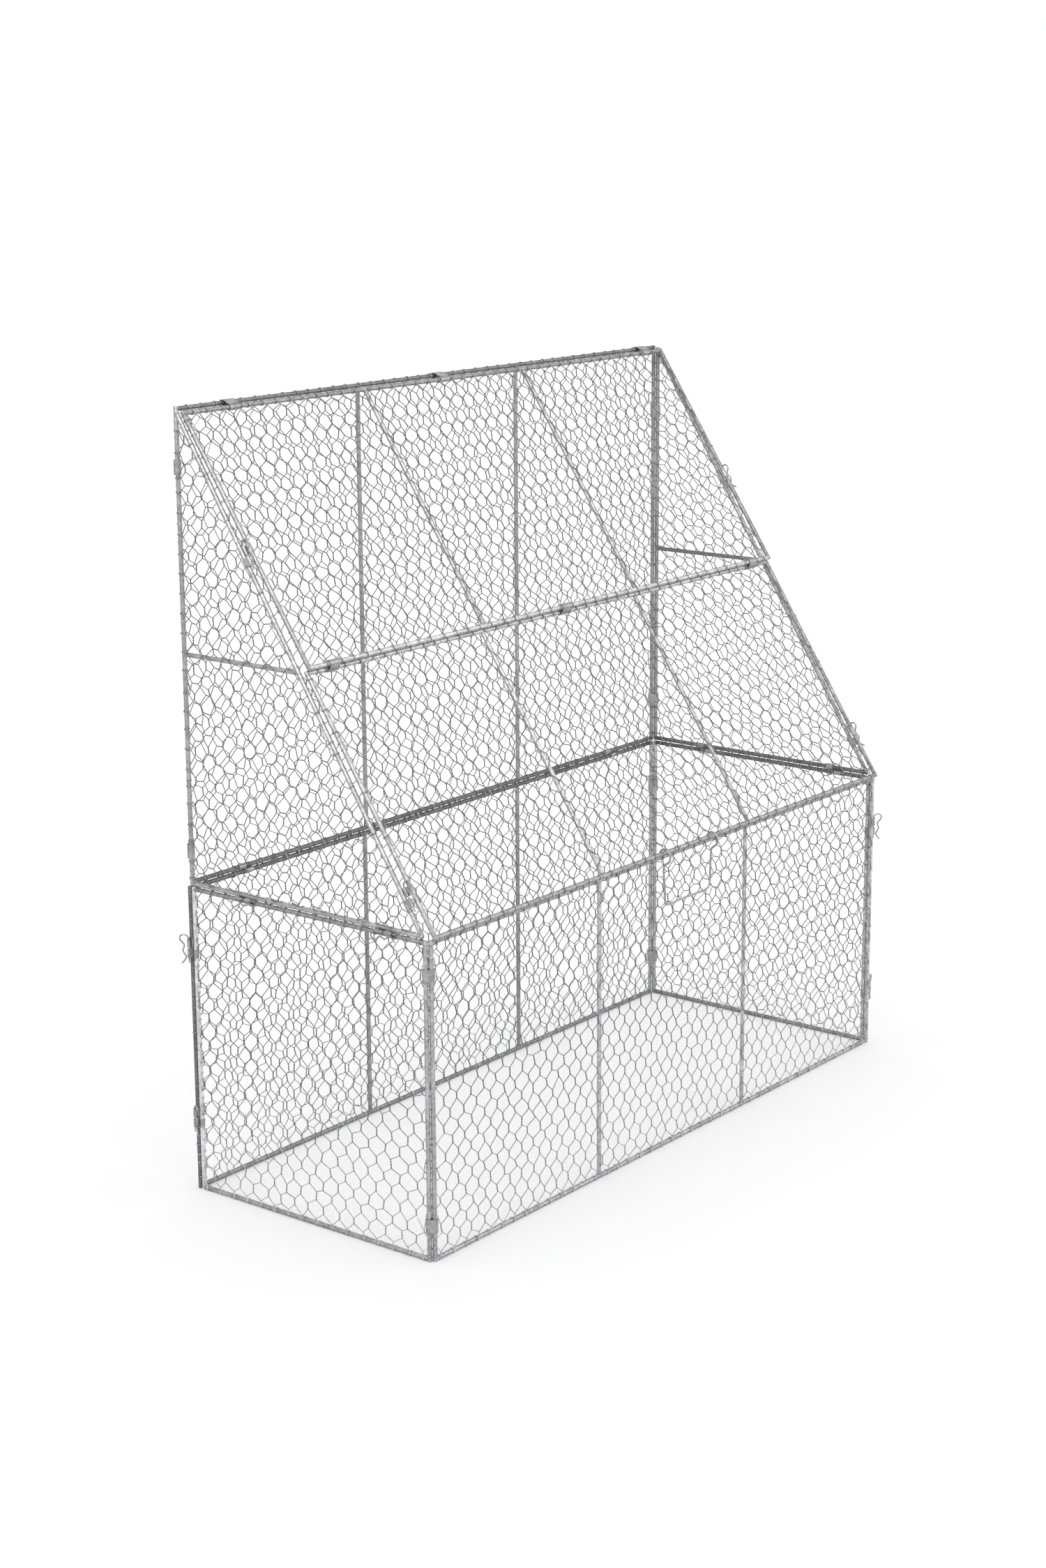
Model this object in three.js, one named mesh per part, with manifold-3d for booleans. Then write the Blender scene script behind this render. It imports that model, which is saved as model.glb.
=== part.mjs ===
// Folding wire mesh cage: nine welded rod frames covered with hexagonal netting,
// joined by sheet-metal strap hinges and locked with removable R-clips.
// Millimetres, +Z up. X runs along the width, +Y points to the back, and the
// origin is the middle of the open bottom, on the ground.
import * as THREE from "three";
import { mergeVertices } from "three/addons/utils/BufferGeometryUtils.js";
import Module from "manifold-3d";

const wasm = await Module();
wasm.setup();

// ---------------------------------------------------------------- dimensions
const WIDTH = 1030; // between the rod centres of the two side panels
const DEPTH = 400; // between the rod centres of the front and back panels
const ROD = 6; // rod diameter, across the flats of its eight-sided section
const BASE_TOP = 413; // height of the base panels' top rails
const RAIL_STEP = 7.4; // a rail of the upper part above the base rail it stands over
const UPPER_TOP = 1029; // height of the back panel's top rail
const HINGE_STEP = 4.7; // sideways offset, both ways, of two rods in one strap
const CORNER_STEP = 7; // distance of the two rods at a clipped corner
const BAY_SHARE = 1 / 3; // the dividers stand at the thirds of a panel
const MID_BAR_Z = 721; // height of the bar across each triangular side
const RAIL_END = 1.2; // a rail runs this far past the post that it is welded to

const NET_THICKNESS = 1.2; // plate that stands for the netting of one bay
const NET_GAP = 4.1; // from a rod's centre to the edge of that plate
const NOTCH_DEPTH = 12.5; // room for a strap that turns past the plate
const NOTCH_HALF = 10.5; // half its length along the rod
const NOTCH_HEIGHT = 10;

const STRAP_WIDTH = 18; // along the rods
const STRAP_INNER = 3.6; // radius of its inside, around each rod
const STRAP_OUTER = 4.4;
const STRAP_Z = {
  front_left: [47, 371],
  back_right: [62, 344],
  upper_left: [463, 957],
  upper_right: [483, 932],
};
const STRAP_X = { top: [-421, -6, 470], middle: [-466, 6, 464] };

const BAND_WIDTH = 11.5; // knuckle crimped on a rod, with an eye for a clip
const BAND_OUTER = 3.7; // radius
const EYE_OUTER = 2.3;
const EYE_INNER = 1.4;
const EYE_REACH = 6.6; // from a rod's centre to the clip leg beside it
const EYE_SIDE = 0.4; // the legs at the base's corners stand this far off their rods' plane
const WEB_THICKNESS = 2.4; // sheet between a band and its eye
const LEG_CLEARANCE = 3; // least distance of a sloping clip's leg from its two rods' plane
const FIRST_BAND = 8.5; // along the clip leg, from the clip's head
const SECOND_BAND = 23;

const CLIP_WIRE = 2; // diameter
const CLIP_LEG = 34;
// Where the clips' heads are: heights at the base's corners, depths and widths along
// the level rails, and distances down the slope.
const CORNER_CLIP_Z = { left: [349, 116], right: [354, 100] };
const SIDE_CLIP_Y = [116, -118];
const BACK_CLIP_X = [-428, 384];
const LID_CLIP_START = { left: [188, 653], right: [210, 645] };

const HANDLE_WIRE = 2.8; // diameter
const HANDLE_BOW = 10.4; // radius of the hooks' front bow
const HANDLE_BOW_DROP = 4.5; // its centre is this far below the rail's
const HANDLE_DROP = 72; // from the rail to the grip
const HANDLE_X = [-34, 78];
const HANDLE_LEAN = [2, -4.5]; // sideways lean of each leg
const HANDLE_CORNER = [4, 8]; // size of the bend at each end of the grip

// ------------------------------------------------------------ derived places
const R = ROD / 2;
const LEFT = -WIDTH / 2;
const RIGHT = WIDTH / 2;
const FRONT = -DEPTH / 2;
const BACK = DEPTH / 2;
const FOOT = R; // the lowest rails lie on the ground
const UPPER_FOOT = BASE_TOP + RAIL_STEP;

// Slope of the triangular sides: a line in Y and Z from the top to the front.
const SLOPE_TOP = [BACK - HINGE_STEP, 1026];
const SLOPE_END = [FRONT + 9.5, UPPER_FOOT];
const SLOPE_LENGTH = Math.hypot(SLOPE_END[0] - SLOPE_TOP[0], SLOPE_END[1] - SLOPE_TOP[1]);
const DOWN = SLOPE_END.map((v, i) => (v - SLOPE_TOP[i]) / SLOPE_LENGTH);
const OUT = [DOWN[1], -DOWN[0]];

// A point at a distance down the slope and a height above it, towards the outside.
function onSlope(x, along, above) {
  return new THREE.Vector3(
    x,
    SLOPE_TOP[0] + DOWN[0] * along + OUT[0] * above,
    SLOPE_TOP[1] + DOWN[1] * along + OUT[1] * above,
  );
}

// The lid's four rails, as distance down the slope and height above it.
const LID_TOP = { along: 5.4, above: 5.7 };
const LID_MID_UPPER = { along: 363.3, above: 15 };
const LID_MID_LOWER = { along: 367.5, above: 8 };
const LID_END = { along: 727, above: 13.9 };

// The lid's height above the slope at one distance along it.
function lidAbove(along) {
  const [from, to] = along < LID_MID_UPPER.along ? [LID_TOP, LID_MID_UPPER] : [LID_MID_LOWER, LID_END];
  return from.above + ((to.above - from.above) * (along - from.along)) / (to.along - from.along);
}

// ------------------------------------------------------------------ materials
const zincRod = () => new THREE.MeshStandardMaterial({ color: 0xa9aaac, roughness: 0.55, metalness: 0.75 });
const zincNet = () => new THREE.MeshStandardMaterial({ color: 0x9c9da0, roughness: 0.6, metalness: 0.7 });
const zincSheet = () => new THREE.MeshStandardMaterial({ color: 0xb4b5b7, roughness: 0.5, metalness: 0.75 });
const brightWire = () => new THREE.MeshStandardMaterial({ color: 0xb9b6b4, roughness: 0.4, metalness: 0.85 });

// ------------------------------------------------------------ solid operations
function toSolid(geometry) {
  const bare = geometry.clone();
  bare.deleteAttribute("normal");
  bare.deleteAttribute("uv");
  const merged = mergeVertices(bare, 1e-4);
  return new wasm.Manifold(
    new wasm.Mesh({
      numProp: 3,
      vertProperties: new Float32Array(merged.attributes.position.array),
      triVerts: new Uint32Array(merged.index.array),
    }),
  );
}

function toGeometry(solid) {
  const mesh = solid.getMesh();
  const geometry = new THREE.BufferGeometry();
  geometry.setAttribute("position", new THREE.BufferAttribute(new Float32Array(mesh.vertProperties), 3));
  geometry.setIndex(new THREE.BufferAttribute(new Uint32Array(mesh.triVerts), 1));
  const flat = geometry.toNonIndexed();
  flat.computeVertexNormals();
  return flat;
}

function join(geometries, cuts = []) {
  let solid = geometries.map(toSolid).reduce((all, one) => all.add(one));
  for (const cut of cuts) {
    solid = solid.subtract(toSolid(cut));
  }
  return toGeometry(solid.asOriginal().simplify(0.002));
}

// ------------------------------------------------------------------ geometry
// Places a shape drawn along +Z: its Z axis goes along `axis` and its X axis
// as near as it can to `side`.
function placed(geometry, origin, axis, side) {
  const w = axis.clone().normalize();
  const v = new THREE.Vector3().crossVectors(w, side).normalize();
  const u = new THREE.Vector3().crossVectors(v, w);
  const matrix = new THREE.Matrix4().makeBasis(u, v, w).setPosition(origin);
  return geometry.applyMatrix4(matrix);
}

function sideOf(axis) {
  const along = axis.clone().normalize();
  return Math.abs(along.x) > 0.9 ? new THREE.Vector3(0, 0, 1) : new THREE.Vector3(1, 0, 0);
}

// Prism with flats at `apothem` from the line between two points.
function prism(from, to, apothem, sides = 8, side = null) {
  const axis = to.clone().sub(from);
  const radius = apothem / Math.cos(Math.PI / sides);
  const length = axis.length();
  const geometry = new THREE.CylinderGeometry(radius, radius, length, sides, 1, false, Math.PI / sides);
  geometry.rotateX(Math.PI / 2);
  geometry.translate(0, 0, length / 2);
  return placed(geometry, from, axis, side ?? sideOf(axis));
}

// A rod whose two ends run on past its end points.
function rod(from, to, past = R) {
  const step = to.clone().sub(from).setLength(past);
  return prism(from.clone().sub(step), to.clone().add(step), R);
}

// Box between two points, with its own width and thickness.
function bar(from, to, width, thickness, side) {
  const axis = to.clone().sub(from);
  const geometry = new THREE.BoxGeometry(width, thickness, axis.length());
  geometry.translate(0, 0, axis.length() / 2);
  return placed(geometry, from, axis, side);
}

// Rounded outline around two centres, used for the strap hinges.
function oval(gap, radius) {
  const points = [];
  const steps = 6;
  for (let i = 0; i <= steps; i++) {
    const turn = -Math.PI / 2 + (Math.PI * i) / steps;
    points.push(new THREE.Vector2(gap + radius * Math.cos(turn), radius * Math.sin(turn)));
  }
  for (let i = 0; i <= steps; i++) {
    const turn = Math.PI / 2 + (Math.PI * i) / steps;
    points.push(new THREE.Vector2(radius * Math.cos(turn), radius * Math.sin(turn)));
  }
  return points;
}

// Sheet band wrapped around two neighbouring rods.
function strap(first, second, along) {
  const across = second.clone().sub(first);
  const shape = new THREE.Shape(oval(across.length(), STRAP_OUTER));
  shape.holes.push(new THREE.Path(oval(across.length(), STRAP_INNER / Math.cos(Math.PI / 12))));
  const geometry = new THREE.ExtrudeGeometry(shape, { depth: STRAP_WIDTH, bevelEnabled: false });
  geometry.translate(0, 0, -STRAP_WIDTH / 2);
  return placed(geometry, first, along, across);
}

// Bent wire through a list of points.
function wire(points, diameter, steps, sides = 6) {
  const path = new THREE.CatmullRomCurve3(points, false, "centripetal");
  const ring = [];
  for (let i = 0; i < sides; i++) {
    const turn = (2 * Math.PI * i) / sides;
    ring.push(new THREE.Vector2((diameter / 2) * Math.cos(turn), (diameter / 2) * Math.sin(turn)));
  }
  return new THREE.ExtrudeGeometry(new THREE.Shape(ring), { steps, bevelEnabled: false, extrudePath: path });
}

// ------------------------------------------------------------------ knuckles
// A clip lies with its straight leg on a line that starts at `head` and goes
// along `run`; `out` points from the rods to the side where the clip is seen.
function clipSeat(name, head, run, out) {
  return { name, head, run: run.clone().normalize(), out: out.clone().normalize() };
}

// Band around a rod with an eye around the clip's leg; `rodAt` gives the rod's
// centre for a distance along the leg.
function knuckle(seat, middle, rodAt) {
  const half = BAND_WIDTH / 2;
  const legAt = (u) => seat.head.clone().addScaledVector(seat.run, u);
  const low = middle - half;
  const high = middle + half;
  const eye = prism(legAt(low), legAt(high), EYE_OUTER, 6, seat.out);
  const band = prism(rodAt(low), rodAt(high), BAND_OUTER);
  const reach = legAt(middle).sub(rodAt(middle));
  const web = bar(
    legAt(low).addScaledVector(reach, -0.5),
    legAt(high).addScaledVector(reach, -0.5),
    reach.length() - WEB_THICKNESS / 2,
    WEB_THICKNESS,
    reach,
  );
  const hole = prism(legAt(low - half), legAt(high + half), EYE_INNER, 6, seat.out);
  return { solids: [band, eye, web], hole };
}

// R-clip: a straight leg, a round head and a wavy leg outside the knuckles.
function clip(seat) {
  const outline = [
    [CLIP_LEG, 0], [CLIP_LEG / 2, 0], [2.6, 0], [-0.8, 1.5], [-2.8, 4.4], [-3.2, 7.8],
    [-1.2, 10.8], [2.2, 11.6], [5.8, 9.8], [8.4, 7.2], [11.2, 6], [14.4, 6.6],
    [17.8, 8], [21.6, 6.6], [26.4, 3.9], [30, 5], [35, 9.2],
  ];
  const points = outline.map(([u, v]) =>
    seat.head.clone().addScaledVector(seat.run, u).addScaledVector(seat.out, v),
  );
  return wire(points, CLIP_WIRE, 28);
}

// ------------------------------------------------------------- panel outlines
const v3 = (x, y, z) => new THREE.Vector3(x, y, z);

// A four-sided panel: corners a (start), b (along the rails) and c, d above.
function panelGrid(a, b, c, d) {
  return {
    a, b, c, d,
    low: (share) => a.clone().lerp(b, share),
    high: (share) => d.clone().lerp(c, share),
  };
}

function panelRods(grid, shares) {
  const rods = [
    rod(grid.a, grid.b, RAIL_END),
    rod(grid.d, grid.c, RAIL_END),
    rod(grid.a, grid.d),
    rod(grid.b, grid.c),
  ];
  for (const share of shares) {
    rods.push(rod(grid.low(share), grid.high(share), 0));
  }
  return rods;
}

// Plate for the netting of one bay. `corners` holds the bay's corners in order
// and `notches` the places on its edges where straps need room.
function netPlate(corners, notches) {
  const origin = corners[0].clone();
  const u = corners[1].clone().sub(origin).normalize();
  const w = new THREE.Vector3().crossVectors(u, corners[2].clone().sub(origin)).normalize();
  const v = new THREE.Vector3().crossVectors(w, u);
  const flat = (p) => new THREE.Vector2(p.clone().sub(origin).dot(u), p.clone().sub(origin).dot(v));
  const outline = corners.map(flat);
  const inner = outline.map((point, i) => {
    const before = outline[(i + outline.length - 1) % outline.length];
    const after = outline[(i + 1) % outline.length];
    const inLeft = point.clone().sub(before).normalize();
    const outRight = after.clone().sub(point).normalize();
    const n1 = new THREE.Vector2(-inLeft.y, inLeft.x);
    const n2 = new THREE.Vector2(-outRight.y, outRight.x);
    const mitre = n1.add(n2);
    mitre.multiplyScalar((2 * NET_GAP) / mitre.lengthSq());
    return point.clone().add(mitre);
  });
  const geometry = new THREE.ExtrudeGeometry(new THREE.Shape(inner), {
    depth: NET_THICKNESS,
    bevelEnabled: false,
  });
  geometry.translate(0, 0, -NET_THICKNESS / 2);
  const basis = new THREE.Matrix4().makeBasis(u, v, w).setPosition(origin);
  geometry.applyMatrix4(basis);
  const cuts = notches.map(({ at, along }) =>
    bar(
      at.clone().addScaledVector(along, -NOTCH_HALF),
      at.clone().addScaledVector(along, NOTCH_HALF),
      2 * NOTCH_DEPTH,
      NOTCH_HEIGHT,
      new THREE.Vector3().crossVectors(along, w).normalize(),
    ),
  );
  return cuts.length ? join([geometry], cuts) : geometry;
}

// The bays of a panel, from its first side to its last, as netting plates.
function bayPlates(prefix, grid, shares, notches) {
  const cuts = [0, ...shares, 1];
  return cuts.slice(1).map((share, i) => {
    const corners = [grid.low(cuts[i]), grid.low(share), grid.high(share), grid.high(cuts[i])];
    return [cuts.length > 2 ? `${prefix}_netting_${i + 1}` : `${prefix}_netting`, netPlate(corners, notches)];
  });
}

// ----------------------------------------------------------------- assembly
const root = new THREE.Group();

function add(group, name, geometry, material) {
  const mesh = new THREE.Mesh(geometry, material);
  mesh.name = name;
  group.add(mesh);
}

const X = v3(1, 0, 0);
const Y = v3(0, 1, 0);
const Z = v3(0, 0, 1);
const SLOPE = onSlope(0, 1, 0).sub(onSlope(0, 0, 0));
const THIRDS = [BAY_SHARE, 2 * BAY_SHARE];

// Rod centres of the vertical corners.
const baseBackLeft = v3(LEFT, BACK, 0);
const baseBackRight = v3(RIGHT - HINGE_STEP, BACK, 0);
const baseFrontLeft = v3(LEFT + HINGE_STEP, FRONT, 0);
const baseFrontRight = v3(RIGHT, FRONT, 0);
const leftFront = v3(LEFT, FRONT + HINGE_STEP, 0);
const leftBack = v3(LEFT, BACK - CORNER_STEP, 0);
const rightFront = v3(RIGHT, FRONT + CORNER_STEP, 0);
const rightBack = v3(RIGHT, BACK - HINGE_STEP, 0);
const upperLeft = v3(LEFT + HINGE_STEP, BACK, 0);
const upperRight = v3(RIGHT - HINGE_STEP, BACK, 0);
const sideLeftRear = v3(LEFT, BACK - HINGE_STEP, 0);
const sideRightRear = v3(RIGHT, BACK - HINGE_STEP, 0);

const atHeight = (corner, z) => v3(corner.x, corner.y, z);
const atWidth = (point, x) => v3(x, point.y, point.z);

const grids = {
  base_back: uprightGrid(baseBackLeft, baseBackRight, FOOT, BASE_TOP),
  base_front: uprightGrid(baseFrontLeft, baseFrontRight, FOOT, BASE_TOP),
  base_left: uprightGrid(leftFront, leftBack, FOOT, BASE_TOP),
  base_right: uprightGrid(rightFront, rightBack, FOOT, BASE_TOP),
  upper_back: uprightGrid(upperLeft, upperRight, UPPER_FOOT, UPPER_TOP),
  lid_upper: lidGrid(LID_MID_UPPER, LID_TOP),
  lid_lower: lidGrid(LID_END, LID_MID_LOWER),
};

function uprightGrid(start, end, low, high) {
  return panelGrid(atHeight(start, low), atHeight(end, low), atHeight(end, high), atHeight(start, high));
}

function lidGrid(low, high) {
  const left = LEFT + HINGE_STEP;
  const right = RIGHT - HINGE_STEP;
  return panelGrid(
    onSlope(left, low.along, low.above),
    onSlope(right, low.along, low.above),
    onSlope(right, high.along, high.above),
    onSlope(left, high.along, high.above),
  );
}

// ------------------------------------------------------------- strap hinges
// Each strap: its name, a point on each of the two rods, and the rods' direction.
const straps = [];

function strapsAlong(prefix, places, first, second, along, toPoint) {
  places.forEach((place, i) => {
    straps.push({
      name: `${prefix}_strap_${i + 1}`,
      first: toPoint(first, place),
      second: toPoint(second, place),
      along,
    });
  });
}

strapsAlong("front_left", STRAP_Z.front_left, baseFrontLeft, leftFront, Z, atHeight);
strapsAlong("back_right", STRAP_Z.back_right, baseBackRight, rightBack, Z, atHeight);
strapsAlong("upper_left", STRAP_Z.upper_left, upperLeft, sideLeftRear, Z, atHeight);
strapsAlong("upper_right", STRAP_Z.upper_right, upperRight, sideRightRear, Z, atHeight);
strapsAlong("top", STRAP_X.top, grids.upper_back.d, grids.lid_upper.d, X, atWidth);
strapsAlong("middle", STRAP_X.middle, grids.lid_upper.a, grids.lid_lower.d, X, atWidth);

for (const { name, first, second, along } of straps) {
  add(root, name, strap(first, second, along), zincSheet());
}

// Straps that lie near a panel's rods, as notches for its netting plates.
function notchesOn(groups) {
  return straps
    .filter(({ name }) => groups.some((group) => name.startsWith(`${group}_strap`)))
    .flatMap(({ first, second, along }) => [{ at: first, along }, { at: second, along }]);
}

// The handle's hooks need the same room at the lid's lowest rail.
const hookNotches = HANDLE_X.map((x) => ({ at: onSlope(x, LID_END.along, LID_END.above), along: X }));

// --------------------------------------------------------------- clip seats
const toLeft = X.clone().negate();
const toRight = X;
const toFront = Y.clone().negate();
const down = Z.clone().negate();
const upSlope = onSlope(0, 0, 1).sub(onSlope(0, 0, 0));
const seats = [];
const knuckles = {};

function addKnuckle(panel, seat, middle, rodAt) {
  (knuckles[panel] ??= []).push(knuckle(seat, middle, rodAt));
}

// Upright clips at the two corners of the base that have no strap hinge.
function uprightClip(name, headZ, leg, out, first, second) {
  const seat = clipSeat(name, atHeight(leg, headZ), down, out);
  seats.push(seat);
  addKnuckle(first.panel, seat, FIRST_BAND, (u) => atHeight(first.corner, headZ - u));
  addKnuckle(second.panel, seat, SECOND_BAND, (u) => atHeight(second.corner, headZ - u));
}

const backLeftLeg = v3(LEFT - EYE_REACH, BACK - EYE_SIDE, 0);
const frontRightLeg = v3(RIGHT + EYE_REACH, FRONT + EYE_SIDE, 0);
const backLeftOut = [v3(-0.6, 0.8, 0), v3(-0.5, -0.87, 0)];
const frontRightOut = [v3(0.6, -0.8, 0), v3(0.95, 0.3, 0)];
CORNER_CLIP_Z.left.forEach((z, i) => {
  uprightClip(`back_left_clip_${i + 1}`, z, backLeftLeg, backLeftOut[i],
    { panel: "base_back", corner: baseBackLeft }, { panel: "base_left", corner: leftBack });
});
CORNER_CLIP_Z.right.forEach((z, i) => {
  uprightClip(`front_right_clip_${i + 1}`, z, frontRightLeg, frontRightOut[i],
    { panel: "base_front", corner: baseFrontRight }, { panel: "base_right", corner: rightFront });
});

// Level clips that hold the upper part on the base. Their wavy leg hangs below.
function levelClip(name, head, run, out, upperPanel, lowerPanel, rodAt) {
  const seat = clipSeat(name, head, run, down.clone().addScaledVector(out, 0.3));
  seats.push(seat);
  addKnuckle(upperPanel, seat, FIRST_BAND, (u) => rodAt(u, UPPER_FOOT));
  addKnuckle(lowerPanel, seat, SECOND_BAND, (u) => rodAt(u, BASE_TOP));
}

const legZ = (UPPER_FOOT + BASE_TOP) / 2;
const legStep = Math.sqrt(EYE_REACH ** 2 - (RAIL_STEP / 2) ** 2);
SIDE_CLIP_Y.forEach((y, i) => {
  levelClip(`left_clip_${i + 1}`, v3(LEFT - legStep, y, legZ), toFront, toLeft,
    "upper_left", "base_left", (u, z) => v3(LEFT, y - u, z));
  levelClip(`right_clip_${i + 1}`, v3(RIGHT + legStep, y, legZ), toFront, toRight,
    "upper_right", "base_right", (u, z) => v3(RIGHT, y - u, z));
});
BACK_CLIP_X.forEach((x, i) => {
  levelClip(`back_clip_${i + 1}`, v3(x, BACK + legStep, legZ), X, Y,
    "upper_back", "base_back", (u, z) => v3(x + u, BACK, z));
});

// Sloping clips that lock the lid to the triangular sides. Their straight leg lies
// between the two rods and their wavy leg above it.
function slopeClip(name, start, panelX, lidX, sidePanel, lidPanel) {
  const middle = start + (FIRST_BAND + SECOND_BAND) / 2;
  const toLid = onSlope(lidX, middle, lidAbove(middle)).sub(onSlope(panelX, middle, 0));
  const across = new THREE.Vector3().crossVectors(SLOPE, toLid).normalize();
  const aside = Math.sign(across.x) === Math.sign(panelX) ? across : across.negate();
  const height = Math.sqrt(Math.max(EYE_REACH ** 2 - toLid.lengthSq() / 4, LEG_CLEARANCE ** 2));
  const head = onSlope(panelX, start, 0).addScaledVector(toLid, 0.5).addScaledVector(aside, height);
  const seat = clipSeat(name, head, SLOPE, upSlope);
  seats.push(seat);
  addKnuckle(lidPanel, seat, FIRST_BAND, (u) => onSlope(lidX, start + u, lidAbove(start + u)));
  addKnuckle(sidePanel, seat, SECOND_BAND, (u) => onSlope(panelX, start + u, 0));
}

["lid_upper", "lid_lower"].forEach((lid, i) => {
  const { left, right } = LID_CLIP_START;
  slopeClip(`lid_left_clip_${i + 1}`, left[i], LEFT, LEFT + HINGE_STEP, "upper_left", lid);
  slopeClip(`lid_right_clip_${i + 1}`, right[i], RIGHT, RIGHT - HINGE_STEP, "upper_right", lid);
});

for (const seat of seats) {
  add(root, seat.name, clip(seat), brightWire());
}

// ------------------------------------------------------------------- frames
function frame(panel, rods) {
  const fitted = knuckles[panel] ?? [];
  const solids = rods.concat(fitted.flatMap(({ solids }) => solids));
  add(root, `${panel}_frame`, join(solids, fitted.map(({ hole }) => hole)), zincRod());
}

const panels = [
  { name: "base_back", shares: THIRDS, straps: ["back_right"] },
  { name: "base_front", shares: THIRDS, straps: ["front_left"] },
  { name: "base_left", shares: [], straps: ["front_left"] },
  { name: "base_right", shares: [], straps: ["back_right"] },
  { name: "upper_back", shares: THIRDS, straps: ["upper_left", "upper_right", "top"] },
  { name: "lid_upper", shares: THIRDS, straps: ["top", "middle"] },
  { name: "lid_lower", shares: THIRDS, straps: ["middle"], extra: hookNotches },
];

for (const panel of panels) {
  const grid = grids[panel.name];
  frame(panel.name, panelRods(grid, panel.shares));
  const notches = notchesOn(panel.straps).concat(panel.extra ?? []);
  for (const [name, geometry] of bayPlates(panel.name, grid, panel.shares, notches)) {
    add(root, name, geometry, zincNet());
  }
}

// Triangular sides: upright rear rod, level bottom rail, sloping rod and a bar.
function triangleSide(name, x) {
  const rearLow = v3(x, BACK - HINGE_STEP, UPPER_FOOT);
  const rearHigh = v3(x, SLOPE_TOP[0], SLOPE_TOP[1]);
  const front = v3(x, SLOPE_END[0], SLOPE_END[1]);
  const barRear = v3(x, rearLow.y, MID_BAR_Z);
  const barFront = onSlope(x, (SLOPE_TOP[1] - MID_BAR_Z) / -DOWN[1], 0);
  frame(name, [
    rod(rearLow, rearHigh),
    rod(rearLow, front, RAIL_END),
    rod(rearHigh, front, RAIL_END),
    rod(barRear, barFront, 0),
  ]);
  const notches = notchesOn([name]);
  add(root, `${name}_netting_1`, netPlate([rearLow, barRear, barFront, front], notches), zincNet());
  add(root, `${name}_netting_2`, netPlate([barRear, rearHigh, barFront], notches), zincNet());
}

triangleSide("upper_left", LEFT);
triangleSide("upper_right", RIGHT);

// ------------------------------------------------------------------- handle
// One bent wire: a hook over the lid's lowest rail at each end, two legs that
// hang down in front, and the grip between them.

// The hook, from its end behind the rail, over it and round the front bow to the
// leg, as steps to the back and up from the rail's centre.
function hookOutline() {
  const behind = [[4, -3.3], [5.2, -0.6], [4.7, 2.3], [2.4, 4.7]];
  const bow = [];
  for (let turn = 180; turn >= 50; turn -= 26) {
    const angle = (turn * Math.PI) / 180;
    bow.push([-0.9 - HANDLE_BOW * Math.sin(angle), -HANDLE_BOW_DROP - HANDLE_BOW * Math.cos(angle)]);
  }
  const neck = [[-4.6, -14.2], [-1.4, -17.6], [-0.6, -23]];
  return [...behind, ...bow, ...neck];
}

// One half of the handle, from its hook to the end of the straight grip.
function handleHalf(x, lean, corner, inwards) {
  const rail = onSlope(x, LID_END.along, LID_END.above);
  const bottom = x + lean;
  const outline = [
    ...hookOutline().map(([back, up]) => [x, back, up]),
    [x + lean * 0.6, -1.4, -0.65 * HANDLE_DROP],
    [bottom, -2, corner - HANDLE_DROP],
    [bottom + inwards * corner * 0.3, -2, corner * 0.3 - HANDLE_DROP],
    [bottom + inwards * corner, -2, -HANDLE_DROP],
  ];
  return outline.map(([across, back, up]) => v3(across, rail.y + back, rail.z + up));
}

function handle() {
  const left = handleHalf(HANDLE_X[0], HANDLE_LEAN[0], HANDLE_CORNER[0], 1);
  const right = handleHalf(HANDLE_X[1], HANDLE_LEAN[1], HANDLE_CORNER[1], -1);
  const middle = left.at(-1).clone().lerp(right.at(-1), 0.5);
  return wire([...left, middle, ...right.reverse()], HANDLE_WIRE, 84);
}

add(root, "lifting_handle", handle(), brightWire());

export default root;
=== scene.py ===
import math

import bpy
import numpy as np
from mathutils import Matrix, Vector


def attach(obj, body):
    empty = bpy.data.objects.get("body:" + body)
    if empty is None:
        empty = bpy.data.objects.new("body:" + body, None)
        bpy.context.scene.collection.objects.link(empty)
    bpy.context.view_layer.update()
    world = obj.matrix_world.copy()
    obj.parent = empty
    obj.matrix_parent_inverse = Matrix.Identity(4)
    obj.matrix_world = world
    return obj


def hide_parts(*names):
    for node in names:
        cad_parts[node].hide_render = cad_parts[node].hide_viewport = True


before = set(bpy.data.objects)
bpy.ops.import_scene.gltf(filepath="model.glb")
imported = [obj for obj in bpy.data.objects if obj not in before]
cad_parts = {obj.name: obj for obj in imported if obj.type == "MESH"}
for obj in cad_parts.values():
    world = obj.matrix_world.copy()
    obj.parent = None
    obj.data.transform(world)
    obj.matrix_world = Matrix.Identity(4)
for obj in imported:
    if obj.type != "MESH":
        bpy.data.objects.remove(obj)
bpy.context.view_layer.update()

# ------------------------------------------------------------------ dimensions
# Shapes are worked out in millimetres, in the frame of the CAD model.
MM = 0.001
WIDTH, DEPTH = 1030.0, 400.0
ROD = 3.0  # radius
BASE_TOP, UPPER_FOOT, UPPER_TOP = 413.0, 420.4, 1029.0
HINGE_STEP, CORNER_STEP = 4.7, 7.0  # how far posts are set in from the corners, at hinges and at clips
MID_BAR_Z = 721.0
RAIL_END = 1.2  # how far a rail runs on past the post's centre
LEFT, RIGHT, FRONT, BACK = -WIDTH / 2, WIDTH / 2, -DEPTH / 2, DEPTH / 2

SLOPE_TOP = np.array([BACK - HINGE_STEP, 1026.0])
SLOPE_END = np.array([FRONT + 9.5, UPPER_FOOT])
DOWN = (SLOPE_END - SLOPE_TOP) / np.linalg.norm(SLOPE_END - SLOPE_TOP)
OUT = np.array([DOWN[1], -DOWN[0]])
# The lid's rails: distance down the slope, and height above it.
LID_TOP, LID_MID_UPPER, LID_MID_LOWER, LID_END = (5.4, 5.7), (363.3, 15.0), (367.5, 8.0), (727.0, 13.9)

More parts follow.
